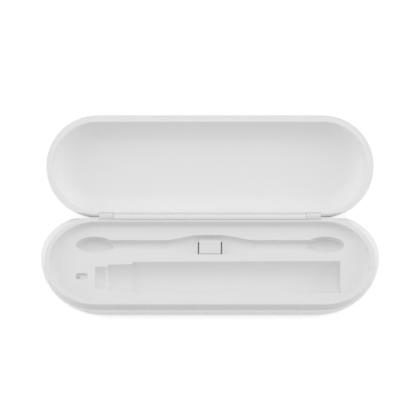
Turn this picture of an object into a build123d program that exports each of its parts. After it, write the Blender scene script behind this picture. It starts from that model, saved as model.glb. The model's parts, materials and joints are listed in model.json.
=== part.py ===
from build123d import *
import math
import os

# A travel case for an electric toothbrush and two spare heads, lying open.
# Millimetres. z = 0 is the surface that the feet stand on, x runs along the
# case, +y points to the hinge, and the origin is under the middle of the base.

# Plan of the base
base_length = 231.0
base_width = 77.4
front_corner_easing = 5.3  # radius of the front corners beyond half the width
rear_corner_squaring = 6.1  # radius of the rear corners short of half the width
# Base shell
shell_wall = 2.7
shell_floor = 2.1
bottom_radius = 11.2
shoulder_rounding = 0.8
seat_width = 1.5  # ledge inside the shoulder that carries the tray
seat_height = 1.5
# Tray, which stands on the shoulder of the shell and rises as a lip
lip_height = 6.3  # above the shoulder of the shell
lip_side_inset = 2.9  # from the outer face of the shell, as the next two
lip_front_inset = 1.9
lip_rear_inset = 4.75
lip_width = 3.75
lip_rear_extra = 0.55  # the rear lip is this much wider
lip_corner_squaring = 0.2
lip_rounding = 0.8
lip_depth = 5.0  # from the top of the lip down to the tray's surface
wall_foot_radius = 2.0
tray_skin = 1.2  # wall of the hollows below the plate
floor_gap = 0.1
# Trough for the toothbrush handle, turned about one axis
trough_y = -11.75
trough_axis_drop = 2.0  # below the top of the lip
trough_left_margin = 37.4  # from the end of the base
trough_right_margin = 26.9
nose_length = 7.1
cap_length = 25.5  # with the nose
nose_radius = 8.9
nose_taper = 1.8
cap_radius = 10.4
cap_end_radius = 10.9
body_radius = 12.5
end_radius = 13.2
# Pockets and channels for the two brush heads
head_offset = 26.05  # from the axis of the trough
pocket_margin = 36.7
pocket_length = 25.6
pocket_width = 12.8
pocket_depth = 6.0
pocket_foot_radius = 1.0
channel_width = 7.2
channel_depth = 4.2
channel_foot_radius = 1.5
well_width = 15.6
well_flat = 6.0  # half length of the widest stretch of the centre well
well_reach = 32.0  # where the well has narrowed to the channel
# Divider block between the two heads
divider_length = 14.8
divider_width = 11.0
divider_offset = -0.8  # from the line of the heads
divider_drop = 1.5
divider_end_gap = 0.9
divider_side_gap = 0.1
divider_pocket_depth = 7.8
divider_rounding = 0.5
# Small recess with a round dimple, to the left of the trough
recess_margin = 28.25
recess_offset = 0.55  # from the axis of the trough
recess_length = 7.7
recess_width = 5.0
recess_corner = 1.4
recess_depth = 1.8
dimple_offset = 2.6
dimple_radius = 1.2
dimple_depth = 1.2
# Lid
lid_height = 17.0
lid_wall = 1.4
lid_top_radius = 12.0
lid_open_angle = 156.0
liner_fit = 0.05
liner_wall = 0.8
liner_flange = 1.6
cavity_side_inset = 4.85
cavity_front_inset = 5.2
cavity_rear_inset = 3.55
cavity_fillet = 13.0
cavity_edge_rounding = 0.5
# Hinge
hinge_margin = 39.5  # from the ends of the base
hinge_radius = 2.5
hinge_notch_gap = 0.2
ear_length = 10.0
knuckle_gap = 0.15
pin_radius = 0.7
pin_running_gap = 0.06
plug_radius = 1.0
plug_length = 1.5
stop_gap = 0.3
# Closing magnets, hidden in the two front rims
magnet_x = 45.0
magnet_length = 14.0
magnet_thickness = 1.4
magnet_height = 4.0
magnet_inset = 2.45  # from the outer edge of the rims to the middle of the magnets
magnet_gap = 0.05
magnet_cover = 0.8
magnet_end_wall = 1.0
# Screws that hold the tray in the shell, from below
screw_end_margin = 19.5
screw_middle_x = 45.0
screw_middle_offset = 17.9  # from the axis of the trough
screw_radius = 1.0
screw_length = 8.0
screw_head_radius = 2.3
screw_head_height = 1.0
screw_hole_gap = 0.2
screw_slot_length = 3.0
screw_slot_width = 0.7
screw_slot_depth = 0.6
screw_tip_gap = 0.3
boss_radius = 3.0
# Feet
foot_end_margin = 43.5
foot_side_margin = 13.2
foot_radius = 4.0
foot_recess = 0.8
foot_proud = 0.8
foot_rounding = 0.3

# Heights
shell_bottom = foot_proud
floor_top = shell_bottom + shell_floor
parting = floor_top + floor_gap + tray_skin + end_radius + trough_axis_drop
shoulder = parting - lip_height
tray_surface = parting - lip_depth
trough_z = parting - trough_axis_drop
# Plan sizes that follow from the above
tray_plate = lip_height - lip_depth
lid_length = base_length - 2 * lip_side_inset
lid_width = base_width - lip_front_inset - lip_rear_inset
front_radius = base_width / 2 + front_corner_easing
rear_radius = base_width / 2 - rear_corner_squaring
lip_corner_radius = lid_width / 2 - lip_corner_squaring
hinge_y = base_width / 2 - lip_rear_inset
hinge_length = base_length - 2 * hinge_margin
base_magnet_y = lip_front_inset + magnet_inset - base_width / 2
trough_left = trough_left_margin - base_length / 2
trough_step = trough_left + cap_length
trough_right = base_length / 2 - trough_right_margin
head_y = trough_y + head_offset
pocket_x = base_length / 2 - pocket_margin
divider_y = head_y + divider_offset
recess_x = recess_margin - base_length / 2
recess_y = trough_y + recess_offset
dimple_x = recess_x - dimple_offset
screw_end_x = base_length / 2 - screw_end_margin
screw_middle_y = trough_y + screw_middle_offset
foot_x = base_length / 2 - foot_end_margin
foot_y = base_width / 2 - foot_side_margin
barrel_length = hinge_length - 2 * (ear_length + knuckle_gap)
ear_start = hinge_length / 2 - ear_length
slot_length = magnet_length + 2 * magnet_gap
slot_width = magnet_thickness + 2 * magnet_gap
screw_depth = screw_head_height + screw_length + screw_tip_gap - shell_floor
# The open lid leans back over its own hinge
lean = math.radians(lid_open_angle)
lid_plane = Plane(
    origin=(0, hinge_y, parting),
    x_dir=(1, 0, 0),
    z_dir=(0, math.sin(lean), math.cos(lean)),
)
lid_axis = Axis(lid_plane.origin, lid_plane.z_dir)
trough_plane = Plane(origin=(0, trough_y, trough_z), x_dir=(1, 0, 0), z_dir=(0, -1, 0))
trough_axis = Axis((0, trough_y, trough_z), (1, 0, 0))
head_plane = Plane((0, head_y, tray_surface))
screw_places = [
    (-screw_end_x, 0),
    (screw_end_x, 0),
    (-screw_middle_x, screw_middle_y),
    (screw_middle_x, screw_middle_y),
]
screw_names = ["screw_left_end", "screw_right_end", "screw_left_middle", "screw_right_middle"]


def case_outline(inset):
    """Plan of the case, drawn in by inset all round."""
    with BuildSketch() as outline:
        Rectangle(base_length - 2 * inset, base_width - 2 * inset)
        fillet(outline.vertices().group_by(Axis.Y)[0], front_radius - inset)
        fillet(outline.vertices().group_by(Axis.Y)[-1], rear_radius - inset)
    return outline.sketch


def rim_outline(inset, rear_extra=0):
    """Plan of the lip and the lid, drawn in by inset and rear_extra more at the hinge."""
    centre = (lip_front_inset - lip_rear_inset - rear_extra) / 2
    with BuildSketch() as outline:
        with Locations((0, centre)):
            Rectangle(lid_length - 2 * inset, lid_width - 2 * inset - rear_extra)
        fillet(outline.vertices().group_by(Axis.Y)[0], lip_corner_radius - inset)
        fillet(outline.vertices().group_by(Axis.Y)[-1], lip_corner_radius - inset - rear_extra)
    return outline.sketch


def cavity_outline(grow):
    """Opening of the lid's liner, widened by grow."""
    length = lid_length - 2 * cavity_side_inset + 2 * grow
    width = lid_width - cavity_front_inset - cavity_rear_inset + 2 * grow
    front = lip_front_inset + cavity_front_inset
    rear = lip_rear_inset + cavity_rear_inset
    with BuildSketch() as outline:
        with Locations((0, (front - rear) / 2)):
            Rectangle(length, width)
        front_radius_inside = lip_corner_radius - cavity_front_inset + grow
        rear_radius_inside = lip_corner_radius - cavity_rear_inset + grow
        fillet(outline.vertices().group_by(Axis.Y)[0], front_radius_inside)
        fillet(outline.vertices().group_by(Axis.Y)[-1], rear_radius_inside)
    return outline.sketch


def case_block(outline, bottom, height, foot):
    """A block on the given plan with its lower edge rounded to the radius foot."""
    with BuildPart() as block:
        with BuildSketch(Plane.XY.offset(bottom)):
            add(outline)
        extrude(amount=height)
        fillet(block.faces().sort_by(Axis.Z)[0].edges(), foot)
    return block.part


def lid_block(outline, height, rounding):
    """A block that stands on the rim plane of the lid, its far edge rounded."""
    with BuildPart() as block:
        with BuildSketch(lid_plane):
            with Locations((0, -hinge_y)):
                add(outline)
        extrude(amount=height)
        far_face = block.faces().sort_by(lid_axis)[-1]
        fillet(far_face.edges(), rounding)
    return block.part


def trough_form(grow):
    """The turned hollow that the handle lies in, narrow at its nose."""
    left = trough_left - grow
    step = trough_step - grow
    right = trough_right + grow
    with BuildPart() as form:
        with BuildSketch(trough_plane):
            with BuildLine():
                Polyline(
                    (left, 0),
                    (left, nose_radius + grow),
                    (left + nose_length, nose_radius + grow),
                    (left + nose_length + nose_taper, cap_radius + grow),
                    (step, cap_end_radius + grow),
                    (step, body_radius + grow),
                    (right, end_radius + grow),
                    (right, 0),
                    close=True,
                )
            make_face()
        revolve(axis=trough_axis)
    return form.part


def head_pocket(middle_x, grow):
    """The oval pocket that takes the bristles of one head."""
    with BuildPart() as pocket:
        with BuildSketch(Plane.XY.offset(tray_surface)):
            with Locations((middle_x, head_y)):
                Ellipse(pocket_length / 2 + grow, pocket_width / 2 + grow)
        extrude(amount=-(pocket_depth + grow))
        fillet(pocket.faces().sort_by(Axis.Z)[0].edges(), pocket_foot_radius + grow)
    return pocket.part


def head_form(grow):
    """Hollow for both heads: a pocket at each end, a channel, and a wider well."""
    narrow = channel_width / 2 + grow
    wide = well_width / 2 + grow
    level = ((1, 0), (1, 0))
    with BuildPart() as form:
        with BuildSketch(head_plane):
            with BuildLine():
                Line((-pocket_x, narrow), (-well_reach, narrow))
                Spline((-well_reach, narrow), (-well_flat, wide), tangents=level)
                Line((-well_flat, wide), (well_flat, wide))
                Spline((well_flat, wide), (well_reach, narrow), tangents=level)
                Line((well_reach, narrow), (pocket_x, narrow))
                mirror(about=Plane.XZ)
                Line((pocket_x, narrow), (pocket_x, -narrow))
                Line((-pocket_x, narrow), (-pocket_x, -narrow))
            make_face()
        extrude(amount=-(channel_depth + grow))
        fillet(form.faces().sort_by(Axis.Z)[0].edges(), channel_foot_radius + grow)
        for side in (-1, 1):
            add(head_pocket(side * pocket_x, grow))
    return form.part


def small_hollows(grow):
    """The pocket of the divider, and the small recess and dimple beside the trough."""
    with BuildPart() as form:
        with BuildSketch(Plane.XY.offset(tray_surface)):
            with Locations((0, divider_y)):
                Rectangle(
                    divider_length + 2 * (divider_end_gap + grow),
                    divider_width + 2 * (divider_side_gap + grow),
                )
        extrude(amount=-(divider_pocket_depth + grow))
        with BuildSketch(Plane.XY.offset(tray_surface)):
            with Locations((recess_x, recess_y)):
                RectangleRounded(recess_length + 2 * grow, recess_width + 2 * grow, recess_corner + grow)
        extrude(amount=-(recess_depth + grow))
        with BuildSketch(Plane.XY.offset(tray_surface - recess_depth)):
            with Locations((dimple_x, recess_y)):
                Circle(dimple_radius + grow)
        extrude(amount=-(dimple_depth + grow))
    return form.part


def hinge_cylinder(start, length, radius):
    """A cylinder on the hinge axis, from x = start."""
    with BuildPart() as cylinder:
        with BuildSketch(Plane.YZ.offset(start)):
            with Locations((hinge_y, parting)):
                Circle(radius)
        extrude(amount=length)
    return cylinder.part


# Base shell
with BuildPart() as base_shell:
    add(case_block(case_outline(0), shell_bottom, shoulder - shell_bottom, bottom_radius))
    fillet(base_shell.faces().sort_by(Axis.Z)[-1].edges(), shoulder_rounding)
    hollow_height = shoulder - seat_height - floor_top
    add(
        case_block(case_outline(shell_wall), floor_top, hollow_height, bottom_radius - shell_wall),
        mode=Mode.SUBTRACT,
    )
    with BuildSketch(Plane.XY.offset(shoulder)):
        add(rim_outline(seat_width))
    extrude(amount=-seat_height, mode=Mode.SUBTRACT)
    with BuildSketch(Plane.XY.offset(shell_bottom)):
        with GridLocations(2 * foot_x, 2 * foot_y, 2, 2):
            Circle(foot_radius)
    extrude(amount=foot_recess, mode=Mode.SUBTRACT)
    with BuildSketch(Plane.XY.offset(shell_bottom)):
        with Locations(*screw_places):
            Circle(screw_head_radius + screw_hole_gap)
    extrude(amount=screw_head_height, mode=Mode.SUBTRACT)
    with BuildSketch(Plane.XY.offset(shell_bottom)):
        with Locations(*screw_places):
            Circle(screw_radius + screw_hole_gap)
    extrude(amount=shell_floor, mode=Mode.SUBTRACT)
    # Bevel at the rear, which the wall of the open lid leans against
    with BuildSketch(lid_plane):
        with Locations((0, stop_gap)):
            Rectangle(lid_length, lid_width, align=(Align.CENTER, Align.MAX))
    extrude(amount=lid_height, mode=Mode.SUBTRACT)
base_shell.part.label = "base_shell"

# Walls of the hollows and screw bosses, which hang below the tray
with BuildPart() as tray_tubs:
    add(trough_form(tray_skin))
    add(head_form(tray_skin))
    add(small_hollows(tray_skin))
    split(bisect_by=Plane.XY.offset(tray_surface), keep=Keep.BOTTOM)
    with BuildSketch(Plane.XY.offset(floor_top)):
        with Locations(*screw_places):
            Circle(boss_radius)
    extrude(amount=tray_surface - floor_top)

# Tray with the lip, the hollows and the two hinge ears
with BuildPart() as base_tray:
    with BuildSketch(Plane.XY.offset(shoulder)):
        add(rim_outline(0))
    extrude(amount=lip_height)
    add(
        case_block(rim_outline(lip_width, lip_rear_extra), tray_surface, 2 * lip_depth, wall_foot_radius),
        mode=Mode.SUBTRACT,
    )
    fillet(base_tray.faces().sort_by(Axis.Z)[-1].edges(), lip_rounding)
    add(tray_tubs.part)
    add(trough_form(0), mode=Mode.SUBTRACT)
    add(head_form(0), mode=Mode.SUBTRACT)
    add(small_hollows(0), mode=Mode.SUBTRACT)
    with BuildSketch(Plane.XY.offset(floor_top)):
        with Locations(*screw_places):
            Circle(screw_radius)
    extrude(amount=screw_depth, mode=Mode.SUBTRACT)
    # Slots for the magnets, open below the lip
    with BuildSketch(Plane.XY.offset(parting - magnet_cover)):
        with GridLocations(2 * magnet_x, 0, 2, 1):
            with Locations((0, base_magnet_y)):
                Rectangle(slot_length, slot_width)
    extrude(amount=-(lip_depth + tray_plate), mode=Mode.SUBTRACT)
    add(hinge_cylinder(-ear_start, 2 * ear_start, hinge_radius + hinge_notch_gap), mode=Mode.SUBTRACT)
    for start in (-hinge_length / 2, ear_start):
        add(hinge_cylinder(start, ear_length, hinge_radius))
    add(hinge_cylinder(-hinge_length / 2, hinge_length, pin_radius), mode=Mode.SUBTRACT)
    for start in (-hinge_length / 2, hinge_length / 2 - plug_length):
        add(hinge_cylinder(start, plug_length, plug_radius), mode=Mode.SUBTRACT)
base_tray.part.label = "base_tray"

# Block that keeps the two heads apart
with BuildPart() as head_divider:
    with BuildSketch(Plane.XY.offset(tray_surface - divider_pocket_depth)):
        with Locations((0, divider_y)):
            Rectangle(divider_length, divider_width)
    extrude(amount=divider_pocket_depth - divider_drop)
    fillet(head_divider.edges().filter_by(Axis.Z), divider_rounding)
    fillet(head_divider.faces().sort_by(Axis.Z)[-1].edges(), divider_rounding)
head_divider.part.label = "head_divider"

# Lid shell with the long middle barrel of the hinge
with BuildPart() as lid_shell:
    add(lid_block(rim_outline(0), lid_height, lid_top_radius))
    rim = lid_shell.faces().sort_by(lid_axis)[0]
    fillet(rim.edges(), lip_rounding)
    add(
        lid_block(rim_outline(lid_wall), lid_height - lid_wall, lid_top_radius - lid_wall),
        mode=Mode.SUBTRACT,
    )
    for start in (-hinge_length / 2, ear_start):
        add(
            hinge_cylinder(start - knuckle_gap, ear_length + 2 * knuckle_gap, hinge_radius + hinge_notch_gap),
            mode=Mode.SUBTRACT,
        )
    add(hinge_cylinder(-barrel_length / 2, barrel_length, hinge_radius))
    add(
        hinge_cylinder(-barrel_length / 2, barrel_length, pin_radius + pin_running_gap),
        mode=Mode.SUBTRACT,
    )
lid_shell.part.label = "lid_shell"

# Smooth liner of the lid, with the flange that closes the rim
with BuildPart() as lid_liner:
    add(lid_block(cavity_outline(liner_wall), lid_height - lid_wall, cavity_fillet + liner_wall))
    with BuildSketch(lid_plane):
        with Locations((0, -hinge_y)):
            add(rim_outline(lid_wall + liner_fit))
    extrude(amount=liner_flange)
    housing_start = lid_wall + liner_fit - lid_width
    with BuildSketch(lid_plane):
        with GridLocations(2 * magnet_x, 0, 2, 1):
            with Locations((0, housing_start)):
                Rectangle(
                    slot_length + 2 * magnet_end_wall,
                    cavity_front_inset - lid_wall - liner_fit,
                    align=(Align.CENTER, Align.MIN),
                )
    extrude(amount=magnet_cover + magnet_height)
    add(
        lid_block(cavity_outline(0), lid_height - lid_wall - liner_wall, cavity_fillet),
        mode=Mode.SUBTRACT,
    )
    rim = lid_liner.faces().sort_by(lid_axis)[0]
    fillet(rim.inner_wires()[0].edges(), cavity_edge_rounding)
    with BuildSketch(lid_plane.offset(magnet_cover)):
        with GridLocations(2 * magnet_x, 0, 2, 1):
            with Locations((0, housing_start)):
                Rectangle(
                    slot_length,
                    magnet_inset + slot_width / 2 - lid_wall - liner_fit,
                    align=(Align.CENTER, Align.MIN),
                )
    extrude(amount=lid_height, mode=Mode.SUBTRACT)
    for start in (-hinge_length / 2, ear_start):
        add(
            hinge_cylinder(start - knuckle_gap, ear_length + 2 * knuckle_gap, hinge_radius + hinge_notch_gap),
            mode=Mode.SUBTRACT,
        )
    add(hinge_cylinder(-hinge_length / 2, hinge_length, hinge_radius + liner_fit), mode=Mode.SUBTRACT)
lid_liner.part.label = "lid_liner"

# Steel pin of the hinge, and the plugs that close its two ends
with BuildPart() as hinge_pin:
    add(hinge_cylinder(-hinge_length / 2 + plug_length, hinge_length - 2 * plug_length, pin_radius))
hinge_pin.part.label = "hinge_pin"

with BuildPart() as hinge_plug_left:
    add(hinge_cylinder(-hinge_length / 2, plug_length, plug_radius))
hinge_plug_left.part.label = "hinge_plug_left"

with BuildPart() as hinge_plug_right:
    add(hinge_cylinder(hinge_length / 2 - plug_length, plug_length, plug_radius))
hinge_plug_right.part.label = "hinge_plug_right"

pieces = [
    base_shell.part,
    base_tray.part,
    head_divider.part,
    lid_shell.part,
    lid_liner.part,
    hinge_pin.part,
    hinge_plug_left.part,
    hinge_plug_right.part,
]

# Two magnets in the base and two in the lid pull the case shut
for side, side_name in ((-1, "left"), (1, "right")):
    with BuildPart() as base_magnet:
        with BuildSketch(Plane.XY.offset(parting - magnet_cover)):
            with Locations((side * magnet_x, base_magnet_y)):
                Rectangle(magnet_length, magnet_thickness)
        extrude(amount=-magnet_height)
    base_magnet.part.label = "base_magnet_" + side_name
    pieces.append(base_magnet.part)

    with BuildPart() as lid_magnet:
        with BuildSketch(lid_plane.offset(magnet_cover)):
            with Locations((side * magnet_x, magnet_inset - lid_width)):
                Rectangle(magnet_length, magnet_thickness)
        extrude(amount=magnet_height)
    lid_magnet.part.label = "lid_magnet_" + side_name
    pieces.append(lid_magnet.part)

# Screws, driven up through the floor of the shell into the bosses of the tray
for place, screw_name in zip(screw_places, screw_names):
    with BuildPart() as screw:
        with BuildSketch(Plane.XY.offset(shell_bottom)):
            with Locations(place):
                Circle(screw_head_radius)
        extrude(amount=screw_head_height)
        with BuildSketch(Plane.XY.offset(shell_bottom + screw_head_height)):
            with Locations(place):
                Circle(screw_radius)
        extrude(amount=screw_length)
        with BuildSketch(Plane.XY.offset(shell_bottom)):
            with Locations(place):
                Rectangle(screw_slot_length, screw_slot_width)
                Rectangle(screw_slot_width, screw_slot_length)
        extrude(amount=screw_slot_depth, mode=Mode.SUBTRACT)
    screw.part.label = screw_name
    pieces.append(screw.part)

# Rubber feet, each pressed into its round recess
for side, side_name in ((-1, "left"), (1, "right")):
    for end, end_name in ((-1, "front"), (1, "rear")):
        with BuildPart() as foot:
            with BuildSketch():
                with Locations((side * foot_x, end * foot_y)):
                    Circle(foot_radius)
            extrude(amount=foot_proud + foot_recess)
            fillet(foot.faces().sort_by(Axis.Z)[0].edges(), foot_rounding)
        foot.part.label = "foot_" + end_name + "_" + side_name
        pieces.append(foot.part)

os.makedirs("parts", exist_ok=True)
for piece in pieces:
    export_step(piece, "parts/" + piece.label + ".step")
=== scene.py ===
import json
import math

import bpy
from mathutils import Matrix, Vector

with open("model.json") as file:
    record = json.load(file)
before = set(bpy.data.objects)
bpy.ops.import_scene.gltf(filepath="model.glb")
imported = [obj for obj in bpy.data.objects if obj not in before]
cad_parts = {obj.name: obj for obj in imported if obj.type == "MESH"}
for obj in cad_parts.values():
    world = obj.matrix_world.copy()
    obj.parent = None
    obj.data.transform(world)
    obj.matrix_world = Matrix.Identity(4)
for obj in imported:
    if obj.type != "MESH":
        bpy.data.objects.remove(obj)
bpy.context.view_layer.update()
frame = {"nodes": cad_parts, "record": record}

# The hinge axis lies in the plane where base and lid meet
hinge = frame["record"]["behaviour"]["joints"][0]
hinge_point = Vector(hinge["pos_m"])
parting_z = hinge_point.z

# Camera: a long lens that looks down on the case from the front
elevation = math.radians(58.0)
camera_distance = 2.8
camera_reach = 20.0
pixel_scale = 1470.0  # pixels per metre at the case
image_width = 420.0
case_row = 258.5  # image row of the middle of the base's parting plane
sensor_width = 36.0  # millimetres

# Noise: scales are in waves per metre, and most of its values lie between low and high
noise_low = 0.3
noise_high = 0.7

# Moulded plastics
plastic_ior = 1.46
mottle_scale = 60.0
mottle_detail = 4.0
mottle_spread = 0.012  # the colour goes this far up and down
gloss_scale = 140.0
gloss_detail = 5.0
gloss_coarseness = 0.6
gloss_below = 0.05  # the roughness goes this far down
gloss_above = 0.06  # and this far up
grain_detail = 2.0
grain_strength = 0.25
edge_wear_and_highlight_start = 0.52  # pointiness of the mesh where the rubbed edges with their painted highlight begin
edge_wear_and_highlight_full = 0.62
edge_wear_and_highlight_amount = 0.6
edge_wear_and_highlight_lift = 0.03  # rubbed edges, with a painted highlight, are this much lighter

# Painted shade: the rear half of the hinge is darkened in the colour; distances in metres from
# its axis
hinge_radius = 0.0025  # the barrel and the ears
hinge_shade_inner = hinge_radius + 0.00005  # the painted shade fades out between these two
hinge_shade_outer = hinge_radius + 0.00015
hinge_shade_front = -0.0012  # and grows from front to rear between these two
hinge_shade_rear = 0.0004

# Metals
streak_stretch = 0.05  # the streaks' scale along the length, against 1 across it
streak_below = 0.08  # the roughness goes this far down
streak_above = 0.1  # and this far up
streak_shade = 0.9  # the darkest part of a streak, against the metal's colour

# Studio
floor_size = 6.0
floor_tone = 0.75
floor_roughness = 0.9
camera_glow = 0.57  # makes the floor nearly white to the camera
mirrored_glow = 0.6  # the same for what the plastics mirror
lamp_aim = Vector((0.0, 0.0, 0.02))
end_lamp_distance = 1.6
end_lamp_height = 0.5
sky_strength = 0.53


def grey(tone):
    return (tone, tone, tone)


def opaque(colour):
    return (*colour, 1.0)


def lighter(colour, amount):
    """The colour with each channel raised by the amount, up to 1."""
    return tuple(min(channel + amount, 1.0) for channel in colour)


def new_material(name):
    """A node material, its node tree and its Principled shader."""
    material = bpy.data.materials.new(name)
    material.use_nodes = True
    tree = material.node_tree
    shader = tree.nodes["Principled BSDF"]
    return material, tree, shader


def connect(tree, source, output, target, socket):
    tree.links.new(source.outputs[output], target.inputs[socket])


def noise(tree, scale, detail, coarseness=0.5):
    """Noise in object space."""
    coordinates = tree.nodes.new("ShaderNodeTexCoord")
    texture = tree.nodes.new("ShaderNodeTexNoise")
    texture.inputs["Scale"].default_value = scale
    texture.inputs["Detail"].default_value = detail
    texture.inputs["Roughness"].default_value = coarseness
    connect(tree, coordinates, "Object", texture, "Vector")
    return texture


def ramp(tree, source, output, low, high, low_value, high_value):
    """Maps source from low..high to the given values, with no change beyond."""
    mapped = tree.nodes.new("ShaderNodeMapRange")
    mapped.inputs["From Min"].default_value = low
    mapped.inputs["From Max"].default_value = high
    mapped.inputs["To Min"].default_value = low_value
    mapped.inputs["To Max"].default_value = high_value
    connect(tree, source, output, mapped, "Value")
    return mapped


def arithmetic(tree, operation):
    node = tree.nodes.new("ShaderNodeMath")
    node.operation = operation
    return node


def vector_arithmetic(tree, operation):
    node = tree.nodes.new("ShaderNodeVectorMath")
    node.operation = operation
    return node


def blend(tree, factor, output, to_colour):
    """A colour mix that goes to to_colour with the factor; its A is left to the caller."""
    mix = tree.nodes.new("ShaderNodeMix")
    mix.data_type = "RGBA"
    mix.inputs["B"].default_value = opaque(to_colour)
    connect(tree, factor, output, mix, "Factor")
    return mix


def hinge_shade_mask(tree):
    """1 on the rear half of the hinge's barrel and ears, where shade is painted, 0 away from
    them.
    """
    coordinates = tree.nodes.new("ShaderNodeTexCoord")
    offset = vector_arithmetic(tree, "SUBTRACT")
    offset.inputs[1].default_value = hinge_point
    connect(tree, coordinates, "Object", offset, 0)
    across = vector_arithmetic(tree, "MULTIPLY")
    across.inputs[1].default_value = (0.0, 1.0, 1.0)
    connect(tree, offset, "Vector", across, 0)
    distance = vector_arithmetic(tree, "LENGTH")
    connect(tree, across, "Vector", distance, 0)
    near = ramp(tree, distance, "Value", hinge_shade_inner, hinge_shade_outer, 1.0, 0.0)
    parts = tree.nodes.new("ShaderNodeSeparateXYZ")
    connect(tree, offset, "Vector", parts, "Vector")
    rear = ramp(tree, parts, "Y", hinge_shade_front, hinge_shade_rear, 0.0, 1.0)
    mask = arithmetic(tree, "MULTIPLY")
    connect(tree, near, "Result", mask, 0)
    connect(tree, rear, "Result", mask, 1)
    return mask


def plastic(name, colour, roughness, grain_scale, grain_height, coat=0.0, hinge_shade_tone=None):
    """Moulded plastic: faint mottling, uneven gloss, fine grain, rubbed edges lightened partly
    by a painted highlight, and on request painted shade on the hinge.
    """
    material, tree, shader = new_material(name)
    mottle = noise(tree, mottle_scale, mottle_detail)
    mottled = blend(tree, mottle, "Fac", lighter(colour, mottle_spread))
    mottled.inputs["A"].default_value = opaque(lighter(colour, -mottle_spread))
    geometry = tree.nodes.new("ShaderNodeNewGeometry")
    # Sharp edges are lightened: partly rubbed wear, partly a painted highlight
    worn_and_highlit_edges = ramp(tree, geometry, "Pointiness", edge_wear_and_highlight_start, edge_wear_and_highlight_full, 0.0, edge_wear_and_highlight_amount)
    surface = blend(tree, worn_and_highlit_edges, "Result", lighter(colour, edge_wear_and_highlight_lift))
    connect(tree, mottled, "Result", surface, "A")
    # Painted shade: the colour is darkened on the rear half of the hinge
    if hinge_shade_tone is not None:
        hinge_shaded = blend(tree, hinge_shade_mask(tree), "Value", grey(hinge_shade_tone))
        connect(tree, surface, "Result", hinge_shaded, "A")
        surface = hinge_shaded
    connect(tree, surface, "Result", shader, "Base Color")
    gloss = noise(tree, gloss_scale, gloss_detail, gloss_coarseness)
    smoothest, roughest = roughness - gloss_below, roughness + gloss_above
    uneven = ramp(tree, gloss, "Fac", noise_low, noise_high, smoothest, roughest)
    connect(tree, uneven, "Result", shader, "Roughness")
    grain = noise(tree, grain_scale, grain_detail)
    bump = tree.nodes.new("ShaderNodeBump")
    bump.inputs["Strength"].default_value = grain_strength
    bump.inputs["Distance"].default_value = grain_height
    connect(tree, grain, "Fac", bump, "Height")
    connect(tree, bump, "Normal", shader, "Normal")
    shader.inputs["IOR"].default_value = plastic_ior
    shader.inputs["Coat Weight"].default_value = coat
    return material


def metal(name, colour, roughness, streak_scale):
    """Bare or plated metal with fine drawn streaks along X."""
    material, tree, shader = new_material(name)
    coordinates = tree.nodes.new("ShaderNodeTexCoord")
    stretch = tree.nodes.new("ShaderNodeMapping")
    stretch.inputs["Scale"].default_value = (streak_stretch, 1.0, 1.0)
    connect(tree, coordinates, "Object", stretch, "Vector")
    streaks = tree.nodes.new("ShaderNodeTexNoise")
    streaks.inputs["Scale"].default_value = streak_scale
    connect(tree, stretch, "Vector", streaks, "Vector")
    smoothest, roughest = roughness - streak_below, roughness + streak_above
    uneven = ramp(tree, streaks, "Fac", noise_low, noise_high, smoothest, roughest)
    connect(tree, uneven, "Result", shader, "Roughness")
    tint = blend(tree, streaks, "Fac", colour)
    tint.inputs["A"].default_value = opaque(channel * streak_shade for channel in colour)
    connect(tree, tint, "Result", shader, "Base Color")
    shader.inputs["Metallic"].default_value = 1.0
    return material


def floor_paint():
    """Pale matt paint that glows a little to the camera and in what mirrors it."""
    material, tree, shader = new_material("floor")
    shader.inputs["Base Color"].default_value = opaque(grey(floor_tone))
    shader.inputs["Roughness"].default_value = floor_roughness
    rays = tree.nodes.new("ShaderNodeLightPath")
    mirrored = arithmetic(tree, "MULTIPLY")
    mirrored.inputs[1].default_value = mirrored_glow
    connect(tree, rays, "Is Glossy Ray", mirrored, 0)
    strength = arithmetic(tree, "MULTIPLY_ADD")
    strength.inputs[1].default_value = camera_glow
    connect(tree, rays, "Is Camera Ray", strength, 0)
    connect(tree, mirrored, "Value", strength, 2)
    glow = tree.nodes.new("ShaderNodeEmission")
    connect(tree, strength, "Value", glow, "Strength")
    lit = tree.nodes.new("ShaderNodeAddShader")
    connect(tree, shader, "BSDF", lit, 0)
    connect(tree, glow, "Emission", lit, 1)
    connect(tree, lit, "Shader", tree.nodes["Material Output"], "Surface")
    return material


def dress(material, *names):
    """Gives CAD nodes a finished material."""
    for name in names:
        node = frame["nodes"][name]
        if not node.material_slots:
            node.data.materials.append(material)
        for place in node.material_slots:
            place.material = material


def softbox(name, place, size, power):
    """A large square lamp that faces the case."""
    lamp = bpy.data.lights.new(name, "AREA")
    lamp.shape = "SQUARE"
    lamp.size = size
    lamp.energy = power
    holder = bpy.data.objects.new(name, lamp)
    holder.location = place
    direction = lamp_aim - Vector(place)
    holder.rotation_euler = direction.to_track_quat("-Z", "Y").to_euler()
    bpy.context.collection.objects.link(holder)


# Materials
# The shell and the tray get painted shade on the rear half of the hinge
shell_plastic = plastic(
    "shell_plastic", grey(0.95), roughness=0.30, grain_scale=2500.0, grain_height=0.00002,
    coat=0.2, hinge_shade_tone=0.73,
)
tray_plastic = plastic(
    "tray_plastic", grey(0.84), roughness=0.50, grain_scale=3200.0, grain_height=0.00003,
    hinge_shade_tone=0.80,
)
liner_plastic = plastic(
    "liner_plastic", grey(0.92), roughness=0.46, grain_scale=3000.0, grain_height=0.00002,
)
divider_plastic = plastic(
    "divider_plastic", grey(0.79), roughness=0.5, grain_scale=3200.0, grain_height=0.00003,
)
foot_rubber = plastic(
    "foot_rubber", (0.72, 0.72, 0.71), roughness=0.8, grain_scale=1800.0, grain_height=0.00006,
)
pin_steel = metal("pin_steel", (0.62, 0.62, 0.63), roughness=0.3, streak_scale=900.0)
screw_steel = metal("screw_steel", (0.55, 0.55, 0.56), roughness=0.35, streak_scale=1500.0)
magnet_nickel = metal("magnet_nickel", (0.66, 0.65, 0.62), roughness=0.22, streak_scale=1200.0)

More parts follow.
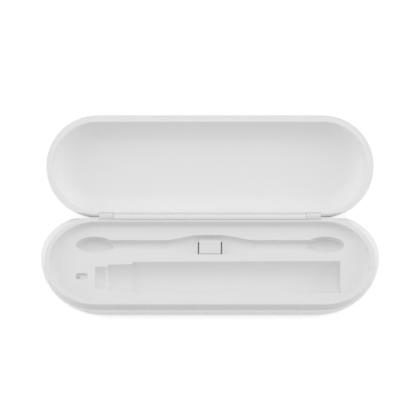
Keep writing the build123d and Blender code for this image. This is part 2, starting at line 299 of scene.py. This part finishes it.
dress(shell_plastic, "base_shell", "lid_shell")
dress(tray_plastic, "base_tray")
dress(liner_plastic, "lid_liner")
dress(divider_plastic, "head_divider")
dress(pin_steel, "hinge_pin")
for side in ("left", "right"):
    dress(shell_plastic, "hinge_plug_" + side)
    dress(screw_steel, "screw_" + side + "_end", "screw_" + side + "_middle")
    dress(magnet_nickel, "base_magnet_" + side, "lid_magnet_" + side)
    dress(foot_rubber, "foot_front_" + side, "foot_rear_" + side)

# Floor
half = floor_size / 2
corners = [(-half, -half, 0), (half, -half, 0), (half, half, 0), (-half, half, 0)]
floor_mesh = bpy.data.meshes.new("floor")
floor_mesh.from_pydata(corners, [], [(0, 1, 2, 3)])
floor_mesh.materials.append(floor_paint())
floor = bpy.data.objects.new("floor", floor_mesh)
bpy.context.collection.objects.link(floor)

# Lamps: one at each end, one above and one behind
for side, direction in (("left", -1), ("right", 1)):
    place = (direction * end_lamp_distance, 0, end_lamp_height)
    softbox(side + "_softbox", place, size=1.0, power=6.0)
softbox("top_softbox", (0, 0, 2.0), size=2.4, power=9.0)
softbox("rear_softbox", (0, 1.6, 1.5), size=1.6, power=5.5)

world = bpy.context.scene.world or bpy.data.worlds.new("world")
bpy.context.scene.world = world
world.use_nodes = True
sky = world.node_tree.nodes["Background"]
sky.inputs["Color"].default_value = opaque(grey(1.0))
sky.inputs["Strength"].default_value = sky_strength

# Camera
camera = bpy.data.cameras.new("camera")
camera.sensor_width = sensor_width
camera.sensor_fit = "HORIZONTAL"
camera.lens = pixel_scale * camera_distance * sensor_width / image_width
camera.clip_end = camera_reach
viewpoint = bpy.data.objects.new("camera", camera)
back = Vector((0, -math.cos(elevation), math.sin(elevation)))
up = Vector((0, math.sin(elevation), math.cos(elevation)))
middle = Vector((0, 0, parting_z))
viewpoint.location = middle + back * camera_distance
target = middle + up * ((case_row - image_width / 2) / pixel_scale)
viewpoint.rotation_euler = (target - viewpoint.location).to_track_quat("-Z", "Y").to_euler()
bpy.context.collection.objects.link(viewpoint)
bpy.context.scene.camera = viewpoint

bpy.context.scene.view_settings.view_transform = "Standard"
